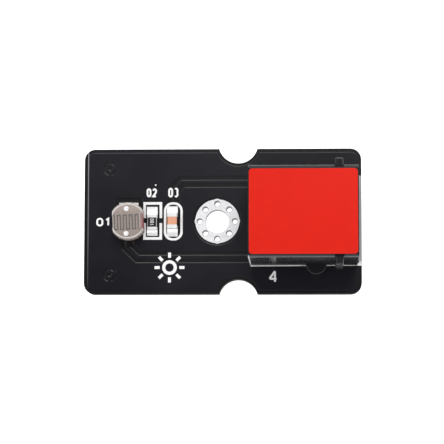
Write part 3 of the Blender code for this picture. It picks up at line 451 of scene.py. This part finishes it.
def table_top():
    """White studio table, lit from below as well as above, so that shadows stay faint."""
    material, _, shader = start_material("white_table", "#F8F8F8", 0.9, specular=0.1)
    fill_inputs(shader, {"Emission Color": linear("#FFFFFF"), "Emission Strength": 0.92})
    return material


MATERIAL_MAKERS = {
    "solder_mask": solder_mask, "white_print": print_ink, "tinned_copper": tinned_copper, "solder": solder,
    "alumina": alumina, "sensing_film": sensing_film, "electrode": electrode_film, "clear_resin": clear_resin,
    "resistor_glaze": resistor_glaze, "capacitor_ceramic": capacitor_ceramic, "jack_plastic": jack_plastic,
    "contact_metal": gold_plating, "red_label": red_film,
}
MATERIALS = {}


def finish_for(slot):
    """The material of one of the record's slots, made the first time that it is asked for."""
    if slot not in MATERIALS:
        MATERIALS[slot] = MATERIAL_MAKERS[slot]()
    return MATERIALS[slot]


# Modelling by hand

def select_only(*objects):
    if bpy.context.object and bpy.context.object.mode == "EDIT":
        bpy.ops.object.mode_set(mode="OBJECT")
    bpy.ops.object.select_all(action="DESELECT")
    for obj in objects:
        obj.select_set(True)
    bpy.context.view_layer.objects.active = objects[0] if objects else None


def settle(obj):
    """Puts an object's place, turn and scale into its mesh."""
    select_only(obj)
    bpy.ops.object.transform_apply(location=True, rotation=True, scale=True)
    return obj


def add_block(name, low, high):
    select_only()
    centre = [(a + b) / 2 for a, b in zip(low, high)]
    bpy.ops.mesh.primitive_cube_add(size=1.0, location=centre, scale=[b - a for a, b in zip(low, high)])
    block = bpy.context.object
    block.name = name
    return settle(block)


def add_round(name, centre, radius, low, high, sides=64):
    select_only()
    bpy.ops.mesh.primitive_cylinder_add(vertices=sides, radius=radius, depth=high - low,
                                        location=(centre[0], centre[1], (low + high) / 2))
    piece = bpy.context.object
    piece.name = name
    return settle(piece)


def add_cone(name, centre, radius, top_radius, low, high, sides):
    select_only()
    bpy.ops.mesh.primitive_cone_add(vertices=sides, radius1=radius, radius2=top_radius, depth=high - low,
                                    location=(centre[0], centre[1], (low + high) / 2))
    piece = bpy.context.object
    piece.name = name
    return settle(piece)


def apply_modifier(obj, kind, **settings):
    step = obj.modifiers.new(kind.lower(), kind)
    for name, value in settings.items():
        setattr(step, name, value)
    select_only(obj)
    bpy.ops.object.modifier_apply(modifier=step.name)


def combine(obj, others, operation):
    """Cuts other shapes out of a piece, or joins them to it, and removes them."""
    for other in others:
        apply_modifier(obj, "BOOLEAN", operation=operation, solver="EXACT", object=other)
        bpy.data.objects.remove(other, do_unlink=True)
    return obj


def edit_selected(obj, kind, chosen, steps):
    """Opens a piece for editing with the chosen faces, edges or vertices selected and runs the steps."""
    select_only(obj)
    bpy.ops.object.mode_set(mode="EDIT")
    bpy.ops.mesh.select_mode(type=kind)
    bpy.ops.mesh.select_all(action="DESELECT")
    mesh = bmesh.from_edit_mesh(obj.data)
    group = {"FACE": mesh.faces, "EDGE": mesh.edges, "VERT": mesh.verts}[kind]
    for item in group:
        if chosen(item):
            item.select_set(True)
    bmesh.update_edit_mesh(obj.data)
    steps()
    bpy.ops.object.mode_set(mode="OBJECT")
    return obj


def bevel_edges(obj, chosen, width, segments):
    edit_selected(obj, "EDGE", chosen,
                  lambda: bpy.ops.mesh.bevel(offset=width, segments=segments, affect="EDGES"))
    return obj


def is_upright(edge):
    first, second = edge.verts
    return abs(first.co.x - second.co.x) + abs(first.co.y - second.co.y) < SAME_PLACE


def is_on_rim(edge, top):
    return min(vertex.co.z for vertex in edge.verts) > top - HAIR


def draw_strip(name, points, width, low, high, closed=False, top_width=None):
    """A strip of even width, drawn point by point as a track or a printed line is.

    With a width for its top as well, its sides slope."""
    select_only()
    bpy.ops.mesh.primitive_plane_add(size=width, location=(0, 0, 0))
    strip = bpy.context.object
    strip.name = name
    bpy.ops.object.mode_set(mode="EDIT")
    bpy.ops.mesh.select_mode(type="VERT")
    bpy.ops.mesh.select_all(action="SELECT")
    bpy.ops.mesh.merge(type="CENTER")
    bpy.ops.transform.translate(value=(points[0][0], points[0][1], low))
    for (x, y), (next_x, next_y) in zip(points, points[1:]):
        bpy.ops.mesh.extrude_region_move(TRANSFORM_OT_translate={"value": (next_x - x, next_y - y, 0)})
    if closed:
        bpy.ops.mesh.select_all(action="DESELECT")
        mesh = bmesh.from_edit_mesh(strip.data)
        for vertex in mesh.verts:
            vertex.select_set(len(vertex.link_edges) == 1)
        bmesh.update_edit_mesh(strip.data)
        bpy.ops.mesh.edge_face_add()
    bpy.ops.mesh.select_all(action="SELECT")
    bpy.ops.mesh.extrude_region_move(TRANSFORM_OT_translate={"value": (0, 0, high - low)})
    bpy.ops.mesh.select_all(action="SELECT")
    bpy.ops.mesh.normals_make_consistent(inside=False)
    bpy.ops.object.mode_set(mode="OBJECT")
    widest = top_width or width
    upper = strip.vertex_groups.new(name="upper")
    halfway = (low + high) / 2
    upper.add([vertex.index for vertex in strip.data.vertices if vertex.co.z > halfway], 1.0, "REPLACE")
    apply_modifier(strip, "SOLIDIFY", thickness=widest, offset=0.0, use_even_offset=True,
                   vertex_group="upper", thickness_vertex_group=width / widest)
    return face_outwards(strip)


def round_ends(strip, points, width):
    """Rounds the two ends of a drawn strip as a pen leaves them, by nearly half its width."""
    reach = 0.6 * width
    rounding = 0.48 * width

    def at_an_end(edge):
        place = edge.verts[0].co
        return is_upright(edge) and any(math.dist(place.xy, end) < reach for end in (points[0], points[-1]))

    return bevel_edges(strip, at_an_end, rounding, 4)


def face_outwards(obj):
    edit_selected(obj, "FACE", lambda face: True, lambda: bpy.ops.mesh.normals_make_consistent(inside=False))
    return obj


def write_number(name, figures, low, high, bottom, top, pen):
    """Plain figures drawn with a round pen, filling the given rectangle, as one piece.

    Each stroke of a figure is a hair thicker than the one before, so that no two tops lie in one
    plane."""
    spacing = FIGURE_SPACING * (high[0] - low[0])
    width = (high[0] - low[0] - spacing * (len(figures) - 1)) / len(figures)
    across = (width - pen) / FIGURE_WIDTH
    along = (high[1] - low[1] - pen) / FIGURE_HEIGHT
    strokes = []
    for order, figure in enumerate(figures):
        left = low[0] + order * (width + spacing) + pen / 2
        for turn, path in enumerate(FIGURES[figure]):
            points = [(left + x * across, low[1] + pen / 2 + y * along) for x, y in path]
            closed = path[0] == path[-1]
            stroke = draw_strip(name, points[:-1] if closed else points, pen, bottom - turn * HAIR,
                                top + turn * HAIR, closed)
            strokes.append(stroke if closed else round_ends(stroke, points, pen))
    return combine(strokes[0], strokes[1:], "UNION")


def join(name, pieces):
    select_only(*pieces)
    bpy.ops.object.join()
    joined = bpy.context.object
    joined.name = name
    return joined


def finish_piece(piece, slot, smooth_below=30):
    """Gives a finished piece its body, slot, material and shading."""
    piece.data.materials.clear()
    piece.data.materials.append(finish_for(slot))
    select_only(piece)
    bpy.ops.object.shade_smooth_by_angle(angle=math.radians(smooth_below))
    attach(piece, "root")
    return piece


def arc(centre, radius, start, stop, steps):
    return [(centre[0] + radius * math.cos(math.radians(start + (stop - start) * step / steps)),
             centre[1] + radius * math.sin(math.radians(start + (stop - start) * step / steps)))
            for step in range(steps + 1)]


def round_box(low, high, radius, steps=6):
    """Outline of a rectangle with round corners."""
    left, near = low[0] + radius, low[1] + radius
    right, far = high[0] - radius, high[1] - radius
    points = (arc((right, far), radius, 0, 90, steps) + arc((left, far), radius, 90, 180, steps)
              + arc((left, near), radius, 180, 270, steps) + arc((right, near), radius, 270, 360, steps))
    shortest = 0.01 * radius
    return [point for last, point in zip(points[-1:] + points, points) if math.dist(last, point) > shortest]


def mm_points(*pairs):
    return [(x * MM, y * MM) for x, y in pairs]


# Pen strokes of plain figures, in units of their own, and the space between two as a share of both
FIGURE_WIDTH, FIGURE_HEIGHT, FIGURE_SPACING = 6, 10, 0.08
ROUND_STROKE = round_box((0, 0), (FIGURE_WIDTH, FIGURE_HEIGHT), FIGURE_WIDTH / 2)
FIGURES = {
    "0": [ROUND_STROKE + ROUND_STROKE[:1]],
    "1": [[(0.8, 8), (3.4, 10), (3.4, 0)]],
    "2": [arc((3, 7), 3, 165, -35, 8) + [(0, 0), (6, 0)]],
    "3": [arc((2.8, 7.2), 2.8, 145, -60, 8), arc((2.8, 2.8), 2.8, 60, -145, 8)],
    "4": [[(4.6, 0), (4.6, 10)], [(4.6, 10), (0, 3)], [(0, 3), (6, 3)]],
}


# Sizes and colours that a user would change

def strength_choice(name, description, default):
    """A light's strength that a user can change, with its default."""
    return FloatProperty(name=name, description=description, default=default, min=0.0)


def angle_choice(name, description, degrees):
    """An angle that a user can change, with its default."""
    return FloatProperty(name=name, description=description, default=math.radians(degrees), subtype="ANGLE")


def colour_choice(name, description, hex_colour):
    """A colour that a user can change, with its default."""
    return FloatVectorProperty(name=name, description=description, default=linear(hex_colour),
                               subtype="COLOR", size=4, min=0.0, max=1.0)


def length_choice(name, description, millimetres):
    """A length that a user can change, with its default."""
    return FloatProperty(name=name, description=description, default=millimetres * MM, unit="LENGTH",
                         precision=6)


class ReliefSizes(bpy.types.PropertyGroup):
    """The solder mask's colours, and sizes of the copper that shows through it."""
    mask_dark: colour_choice("Mask, darker", "The solder mask's darker cloudy patches", "#0B0B14")
    mask_pale: colour_choice("Mask, paler", "The solder mask's paler cloudy patches", "#0F0F18")
    height: length_choice("Copper height", "How far the copper lifts the mask", 0.034)
    edge_margin: length_choice("Edge margin", "From the board's edge to the copper", 0.47)
    gap: length_choice("Gap", "Bare line between a track and the copper round it", 0.40)
    flank: length_choice("Flank", "Width of the mask's slope at the copper's edge", 0.12)


class PrintSizes(bpy.types.PropertyGroup):
    """Colours and sizes of the white printed marks."""
    ink_thin: colour_choice("Ink, thin", "The ink where it lies thin", "#F0F0EE")
    ink_full: colour_choice("Ink, full", "The ink where it lies full", "#FFFFFF")
    line: length_choice("Line width", "Width of the printed outlines", 0.36)
    thickness: length_choice("Ink thickness", "How far the ink stands out of the mask", 0.022)
    pen: length_choice("Pen width", "Width of the strokes of the printed figures", 0.25)


class ResinSizes(bpy.types.PropertyGroup):
    """Sizes of the clear resin on the photoresistor."""
    rim_round: length_choice("Rim rounding", "Radius of the resin's upper edge", 0.30)
    sides: IntProperty(name="Sides", description="How finely the round rim is made", default=96, min=32)


class LabelSizes(bpy.types.PropertyGroup):
    """Colours and size of the red label."""
    film_dark: colour_choice("Label, darker", "The label's darker patches", "#D81F11")
    film_pale: colour_choice("Label, paler", "The label's paler patches", "#DC2112")
    corner: length_choice("Corner radius", "Radius of the label's corners", 0.45)


class StageSettings(bpy.types.PropertyGroup):
    """The studio round the module."""
    key_strength: strength_choice("Main light", "Strength of the soft light from behind", 1.42)
    key_size: angle_choice("Main light's spread", "Angle that the soft light fills", 38)
    side_strength: strength_choice("Side light", "Strength of the smaller light from the left", 0.25)
    side_size: angle_choice("Side light's spread", "Angle that the side light fills", 16)
    fill_strength: strength_choice("Fill light", "Strength of the weak light from the near side", 0.6)
    fill_size: angle_choice("Fill light's spread", "Angle that the fill light fills", 30)
    sky_rim: strength_choice("Horizon", "Brightness of the studio's walls", 1.25)
    sky_top: strength_choice("Ceiling", "Brightness of the studio's ceiling", 0.18)
    camera_place: FloatVectorProperty(name="Camera", subtype="TRANSLATION",
                                      description="The camera's place from the middle of the board's top",
                                      default=(11.82 * MM, -34.12 * MM, 286.3 * MM))
    camera_turn: FloatVectorProperty(name="Camera's turn", subtype="EULER",
                                     description="Turns of the camera about X, Y and Z",
                                     default=(math.radians(6.77), math.radians(2.38), math.radians(0.09)))
    lens: FloatProperty(name="Lens", description="The camera's focal length in millimetres", default=170.9)


# Operators, one for each piece or group of like pieces

def copper_layer(name, sizes, upward, tracks, clear_rounds, clear_strips):
    """The copper under the mask on one face of the board, as the relief that it makes in the mask.

    Each cutter is wider at its top by the mask's slope, and reaches a little past both faces."""
    base, top = BOARD_TOP, BOARD_TOP + sizes.height
    past = 0.2 * sizes.height
    low, high = base - past, top + past
    widening = sizes.flank * (high - low) / sizes.height
    margin = sizes.edge_margin
    layer = add_block(name, (BOARD_LOW.x + margin, BOARD_LOW.y + margin, base),
                      (BOARD_HIGH.x - margin, BOARD_HIGH.y - margin, base + past))
    bevel_edges(layer, is_upright, BOARD_CORNER - margin, 8)
    edit_selected(layer, "FACE", lambda face: face.normal.z > 0.9,
                  lambda: bpy.ops.mesh.inset(thickness=sizes.flank, depth=sizes.height - past))
    rounds = [(centre, NOTCH_RADIUS + margin - sizes.flank, 96) for centre in NOTCH_CENTRES]
    rounds += [(centre, radius, 48) for centre, radius in clear_rounds]
    cutters = [add_cone("clear_round", centre, radius, radius + widening, low, high, sides)
               for centre, radius, sides in rounds]
    strips = [(points, sizes.gap) for points in tracks] + clear_strips
    cutters += [draw_strip("clear_strip", points, width, low, high, top_width=width + 2 * widening)
                for points, width in strips]
    combine(layer, cutters, "DIFFERENCE")
    if not upward:
        layer.scale.z = -1
        layer.location.z = BOARD_BOTTOM + BOARD_TOP
        settle(layer)
    return finish_piece(face_outwards(layer), "solder_mask", smooth_below=5)


def upper_track_edges():
    """The two bare lines along each track on the board's upper face."""
    under_jack = 6.0
    return [
        mm_points((under_jack, 5.96), (-5.80, 5.96), (-7.18, 4.58), (-7.18, 2.3)),
        mm_points((under_jack, 4.97), (-5.36, 4.97), (-6.13, 4.20), (-6.13, 2.3)),
        mm_points((under_jack, -4.38), (-11.35, -4.38), (-12.52, -3.21), (-12.52, -2.2)),
        mm_points((under_jack, -5.40), (-11.80, -5.40), (-13.58, -3.62), (-13.58, -2.2)),
        mm_points((-14.45, 1.6), (-14.45, 2.93), (-11.3, 2.93), (-11.3, 1.9)),
    ]


def covered_vias():
    """The marks that vias under the mask leave near two corners: a dimple in a ring with four spokes."""
    centres = mm_points((-15.45, 7.32), (-15.45, -7.32))
    dimple_radius, ring_radius, bare_line = 0.17 * MM, 0.78 * MM, 0.12 * MM
    half_arc = 32
    dimples = [(centre, dimple_radius) for centre in centres]
    rings = [(arc(centre, ring_radius, quarter - half_arc, quarter + half_arc, 6), bare_line)
             for centre in centres for quarter in (45, 135, 225, 315)]
    return dimples, rings


class LIGHTSENSOR_OT_upper_copper(bpy.types.Operator):
    """Model the copper relief on the board's upper face"""
    bl_idname = "lightsensor.upper_copper"
    bl_label = "Upper copper relief"

    def execute(self, context):
        chip_reach, chip_clearing = 2.1 * MM, 1.6 * MM
        jack_clearing, cell_clearing, peg_clearing = 11.6 * MM, 1.9 * MM, 1.25 * MM
        strips = [([(centre.x, centre.y - chip_reach), (centre.x, centre.y + chip_reach)], chip_clearing)
                  for centre in (RESISTOR_CENTRE, CAPACITOR_CENTRE)]
        strips.append((mm_points((4.1, 0), (18.0, 0)), jack_clearing))
        dimples, rings = covered_vias()
        rounds = [(HOLE_CENTRE, HOLE_CLEARING), (CELL_CENTRE, cell_clearing)] + dimples
        rounds += [(peg, peg_clearing) for peg in PEGS]
        copper_layer("upper_copper_relief", context.scene.light_sensor_relief, True, upper_track_edges(),
                     rounds, strips + rings)
        return {"FINISHED"}


class LIGHTSENSOR_OT_lower_copper(bpy.types.Operator):
    """Model the copper relief on the board's underside"""
    bl_idname = "lightsensor.lower_copper"
    bl_label = "Lower copper relief"

    def execute(self, context):
        lead_clearing, tail_clearing, peg_clearing = 1.05 * MM, 0.86 * MM, 1.55 * MM
        rounds = [(HOLE_CENTRE, HOLE_CLEARING)]
        rounds += [(place, lead_clearing) for place in CELL_LEADS]
        rounds += [(place, tail_clearing) for place in CONTACT_TAILS]
        rounds += [(place, peg_clearing) for place in PEGS]
        copper_layer("lower_copper_relief", context.scene.light_sensor_relief, False, [], rounds, [])
        return {"FINISHED"}


def print_heights():
    """Foot and top of the ink: it fills the bare bands and stands a little above the copper's relief."""
    scene = bpy.context.scene
    top = BOARD_TOP + scene.light_sensor_relief.height + scene.light_sensor_print.thickness
    return BOARD_TOP + INK_FOOT, top


class LIGHTSENSOR_OT_printed_outlines(bpy.types.Operator):
    """Print the white outlines round the photoresistor, the chip parts and the jack"""
    bl_idname = "lightsensor.printed_outlines"
    bl_label = "Printed outlines"

    def execute(self, context):
        low, high = print_heights()
        line = context.scene.light_sensor_print.line
        jack = mm_points((4.02, -6.05), (18.78, -5.97), (18.78, 6.05), (4.02, 6.05))
        cell = mm_points((-14.0, -2.16), (-14.0, 2.38), (-11.74, 2.38), (-11.74, -2.16))
        resistor_upper = mm_points((-10.70, 0.46), (-10.70, 2.49), (-8.47, 2.49), (-8.47, 0.46))
        resistor_lower = mm_points((-8.47, -0.22), (-8.47, -2.34), (-10.70, -2.34), (-10.70, -0.22))
        capacitor = round_box(*mm_points((-7.88, -2.47), (-5.63, 2.47)), radius=1.0 * MM, steps=10)
        for name, points, width, closed in (
                ("jack_outline", jack, line, True), ("photoresistor_outline", cell, line, True),
                ("resistor_outline_upper", resistor_upper, line, False),
                ("resistor_outline_lower", resistor_lower, line, False),
                ("capacitor_outline", capacitor, 0.9 * line, True)):
            finish_piece(draw_strip(name, points, width, low, high, closed), "white_print")
        dot_centre, dot_radius = (-9.19 * MM, 5.02 * MM), 0.11 * MM
        dot = add_round("printed_dot", dot_centre, dot_radius, low, high, 16)
        finish_piece(dot, "white_print")
        return {"FINISHED"}


class LIGHTSENSOR_OT_printed_numbers(bpy.types.Operator):
    """Print a plain number beside each part, and one on the chip resistor"""
    bl_idname = "lightsensor.printed_numbers"
    bl_label = "Printed numbers"

    def execute(self, context):
        low, high = print_heights()
        pen = context.scene.light_sensor_print.pen
        for name, figures, left, near, right, far, boldness in (
                ("number_photoresistor", "01", -17.33, -0.66, -15.27, 0.52, 1.0),
                ("number_resistor", "02", -10.44, 3.34, -9.01, 4.58, 1.0),
                ("number_capacitor", "03", -7.47, 3.31, -6.03, 4.64, 1.0),
                ("number_jack", "4", 6.28, -8.50, 7.52, -6.74, 1.08)):
            number = write_number(name, figures, (left * MM, near * MM), (right * MM, far * MM), low, high,
                                  boldness * pen)
            finish_piece(number, "white_print")
        glaze_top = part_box("resistor_overcoat")[1].z
        corners = mm_points((-0.48, -0.25), (0.48, 0.25))
        thin_pen, sunk, raised = 0.07 * MM, 0.004 * MM, 0.012 * MM
        number = write_number("number_on_resistor", "100", *corners, glaze_top - sunk, glaze_top + raised,
                              thin_pen)
        number.rotation_euler.z = math.radians(90)
        number.location = (RESISTOR_CENTRE.x, RESISTOR_CENTRE.y, 0)
        finish_piece(settle(number), "white_print")
        return {"FINISHED"}


class LIGHTSENSOR_OT_sun_mark(bpy.types.Operator):
    """Print a plain sun below the chip parts, as a sign for light"""
    bl_idname = "lightsensor.sun_mark"
    bl_label = "Printed sun"

    def execute(self, context):
        low, high = print_heights()
        centre = (-7.25 * MM, -6.35 * MM)
        disc_radius, disc_line = 0.80 * MM, 0.42 * MM
        ray_ends, ray_line = (1.34 * MM, 2.05 * MM), 0.40 * MM
        disc = arc(centre, disc_radius, 0, 337.5, 15)
        pieces = [draw_strip("sun_disc", disc, disc_line, low, high, True)]
        for ray in range(8):
            angle = math.radians(45 * ray)
            ends = [(centre[0] + reach * math.cos(angle), centre[1] + reach * math.sin(angle))
                    for reach in ray_ends]
            pieces.append(draw_strip("sun_ray", ends, ray_line, low, high))
        finish_piece(join("printed_sun", pieces), "white_print")
        return {"FINISHED"}


class LIGHTSENSOR_OT_resin(bpy.types.Operator):
    """Model the clear resin over the photoresistor with its rounded rim"""
    bl_idname = "lightsensor.resin"
    bl_label = "Clear resin"

    def execute(self, context):
        sizes = context.scene.light_sensor_resin

        def slice_off_flats(piece, half):
            for side in (1, -1):
                direction = Vector((side * math.cos(CELL_TURN), side * math.sin(CELL_TURN), 0))
                on_flat = Vector((CELL_CENTRE.x, CELL_CENTRE.y, 0)) + direction * half
                edit_selected(piece, "FACE", lambda face: True,
                              lambda: bpy.ops.mesh.bisect(plane_co=on_flat, plane_no=direction, use_fill=True,
                                                          clear_outer=True, threshold=SAME_PLACE))

        wall = 0.04 * MM
        coat = add_round("photoresistor_resin", CELL_CENTRE, CELL_RADIUS + wall, COAT_LOW.z, COAT_HIGH.z,
                         sizes.sides)
        slice_off_flats(coat, CELL_HALF_FLAT + wall)
        bevel_edges(coat, lambda edge: is_on_rim(edge, COAT_HIGH.z), sizes.rim_round, 6)
        pocket_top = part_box("ldr_electrode_upper")[1].z + ROOM
        pocket = add_round("pocket", CELL_CENTRE, CELL_RADIUS + ROOM, COAT_LOW.z - MM, pocket_top,
                           sizes.sides)
        slice_off_flats(pocket, CELL_HALF_FLAT + ROOM)
        lead_low, lead_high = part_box("ldr_lead_upper")
        head = (lead_high.x - lead_low.x) / 2 + ROOM
        heads = [add_round("head_room", place, head, CELL_TOP, lead_high.z + ROOM, 24)
                 for place in CELL_LEADS]
        combine(coat, [pocket] + heads, "DIFFERENCE")
        finish_piece(coat, "clear_resin", smooth_below=40)
        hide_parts("ldr_clear_coat")
        return {"FINISHED"}


class LIGHTSENSOR_OT_label(bpy.types.Operator):
    """Model the red label with its softened edge"""
    bl_idname = "lightsensor.label"
    bl_label = "Red label"

    def execute(self, context):
        softening = 0.05 * MM
        label = add_block("red_label_film", LABEL_LOW, LABEL_HIGH)
        bevel_edges(label, is_upright, context.scene.light_sensor_label.corner, 8)
        bevel_edges(label, lambda edge: is_on_rim(edge, LABEL_HIGH.z), softening, 3)
        finish_piece(label, "red_label")
        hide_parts("jack_label")
        return {"FINISHED"}


class LIGHTSENSOR_OT_cad_finishes(bpy.types.Operator):
    """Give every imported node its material"""
    bl_idname = "lightsensor.cad_finishes"
    bl_label = "Finishes of the packed nodes"

    def execute(self, context):
        slots = {entry["node"]: entry["material_slot"] for entry in frame["record"]["subparts"]}
        for name, node in NODES.items():
            for place in node.material_slots:
                place.material = finish_for(slots[name])
        return {"FINISHED"}


class LIGHTSENSOR_OT_stage(bpy.types.Operator):
    """Set up the white table, the studio light and the camera"""
    bl_idname = "lightsensor.stage"
    bl_label = "Stage"

    def execute(self, context):
        settings = context.scene.light_sensor_stage
        table_size, below_part = 6.0, 0.02 * MM
        select_only()
        bpy.ops.mesh.primitive_plane_add(size=table_size, location=(0, 0, -below_part))
        table = settle(bpy.context.object)
        table.name = "table"
        table.data.materials.append(table_top())

        for name, turn, strength, size in (
                ("main_light", (-42, 6, 0), settings.key_strength, settings.key_size),
                ("side_light", (0, -42, 0), settings.side_strength, settings.side_size),
                ("fill_light", (58, 0, 0), settings.fill_strength, settings.fill_size)):
            select_only()
            bpy.ops.object.light_add(type="SUN", rotation=[math.radians(angle) for angle in turn])
            light = bpy.context.object
            light.name = name
            light.data.energy = strength
            light.data.angle = size

        world = bpy.data.worlds.new("studio")
        world.use_nodes = True
        context.scene.world = world
        tree = world.node_tree
        walls_end, ceiling_starts = 0.45, 0.85
        direction = add_node(tree, "TexCoord")["Generated"]
        height = add_node(tree, "SeparateXYZ", (direction,))["Z"]
        share = add_node(tree, "MapRange", (height, walls_end, ceiling_starts),
                         interpolation_type="SMOOTHSTEP")["Result"]
        walls = [settings.sky_rim] * 3 + [1.0]
        ceiling = [settings.sky_top] * 3 + [1.0]
        sky = add_node(tree, "Mix", {SHARE: share, FIRST: walls, SECOND: ceiling}, data_type="RGBA")[MIXED]
        fill_inputs(tree.nodes["Background"], {"Color": sky})

        about_x, about_y, about_z = settings.camera_turn
        turn = (Matrix.Rotation(about_y, 3, "Y") @ Matrix.Rotation(about_x, 3, "X")
                @ Matrix.Rotation(about_z, 3, "Z")).to_euler()
        place = Vector(settings.camera_place) + Vector((0, 0, BOARD_TOP))
        select_only()
        bpy.ops.object.camera_add(location=place, rotation=turn)
        camera = bpy.context.object
        camera.data.lens = settings.lens
        camera.data.sensor_width = 36.0
        camera.data.clip_start = 0.01
        camera.data.clip_end = 20.0
        camera.data.dof.use_dof = False
        context.scene.camera = camera
        context.scene.view_settings.view_transform = "Standard"
        return {"FINISHED"}


STEPS = (LIGHTSENSOR_OT_cad_finishes, LIGHTSENSOR_OT_upper_copper, LIGHTSENSOR_OT_lower_copper,
         LIGHTSENSOR_OT_printed_outlines, LIGHTSENSOR_OT_printed_numbers, LIGHTSENSOR_OT_sun_mark,
         LIGHTSENSOR_OT_resin, LIGHTSENSOR_OT_label, LIGHTSENSOR_OT_stage)
SETTINGS = {"light_sensor_relief": ReliefSizes, "light_sensor_print": PrintSizes,
            "light_sensor_resin": ResinSizes, "light_sensor_label": LabelSizes,
            "light_sensor_stage": StageSettings}


class LIGHTSENSOR_PT_steps(bpy.types.Panel):
    """Lists the steps that finish the light sensor module"""
    bl_idname = "LIGHTSENSOR_PT_steps"
    bl_label = "Light sensor"
    bl_space_type = "VIEW_3D"
    bl_region_type = "UI"
    bl_category = "Light sensor"

    def draw(self, context):
        for step in STEPS:
            self.layout.operator(step.bl_idname)


def register():
    for group in (*SETTINGS.values(), *STEPS, LIGHTSENSOR_PT_steps):
        bpy.utils.register_class(group)
    for name, group in SETTINGS.items():
        setattr(bpy.types.Scene, name, PointerProperty(type=group))


def unregister():
    for name in SETTINGS:
        delattr(bpy.types.Scene, name)
    for group in (LIGHTSENSOR_PT_steps, *reversed(STEPS), *SETTINGS.values()):
        bpy.utils.unregister_class(group)


def main():
    register()
    for step in STEPS:
        family, action = step.bl_idname.split(".")
        getattr(getattr(bpy.ops, family), action)()


if __name__ == "__main__":
    main()
